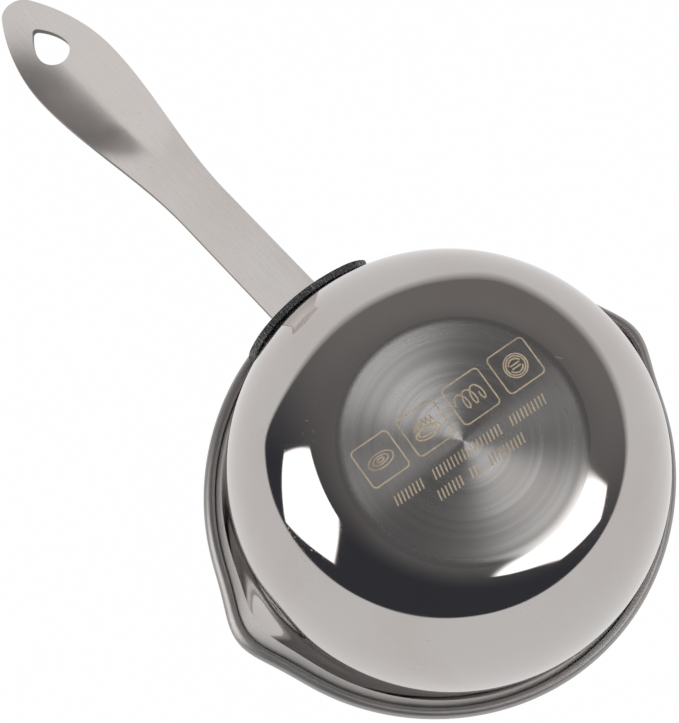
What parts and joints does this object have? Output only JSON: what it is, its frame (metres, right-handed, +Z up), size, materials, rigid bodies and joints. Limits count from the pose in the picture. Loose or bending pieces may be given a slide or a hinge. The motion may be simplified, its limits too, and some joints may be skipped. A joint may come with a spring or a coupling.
{
  "type": "melting pot",
  "caption": "Small stainless steel melting pot with a rounded bowl, rolled rim, two pouring lips and a long flat handle with a teardrop hanging hole.",
  "frame": {"origin": "centre of the flat base, on the surface that the pot stands on", "axes": "+Z up out of the bowl, +X out along the handle, +Y and -Y towards the two pouring lips"},
  "size_m": [0.2648, 0.1446, 0.0986],
  "materials": {
    "bowl_steel": "mirror polished outside, turned base, satin inside",
    "handle_steel": "soft polish with fine scratches",
    "bracket_steel": "satin faces with rough sheared edges",
    "weld_steel": "rough, heat darkened"
  },
  "bodies": {
    "root": {"bowl": "bowl_steel", "handle": "handle_steel", "handle_bracket": "bracket_steel", "handle_weld": "weld_steel", "bracket_welds": "weld_steel"}
  },
  "joints": []
}
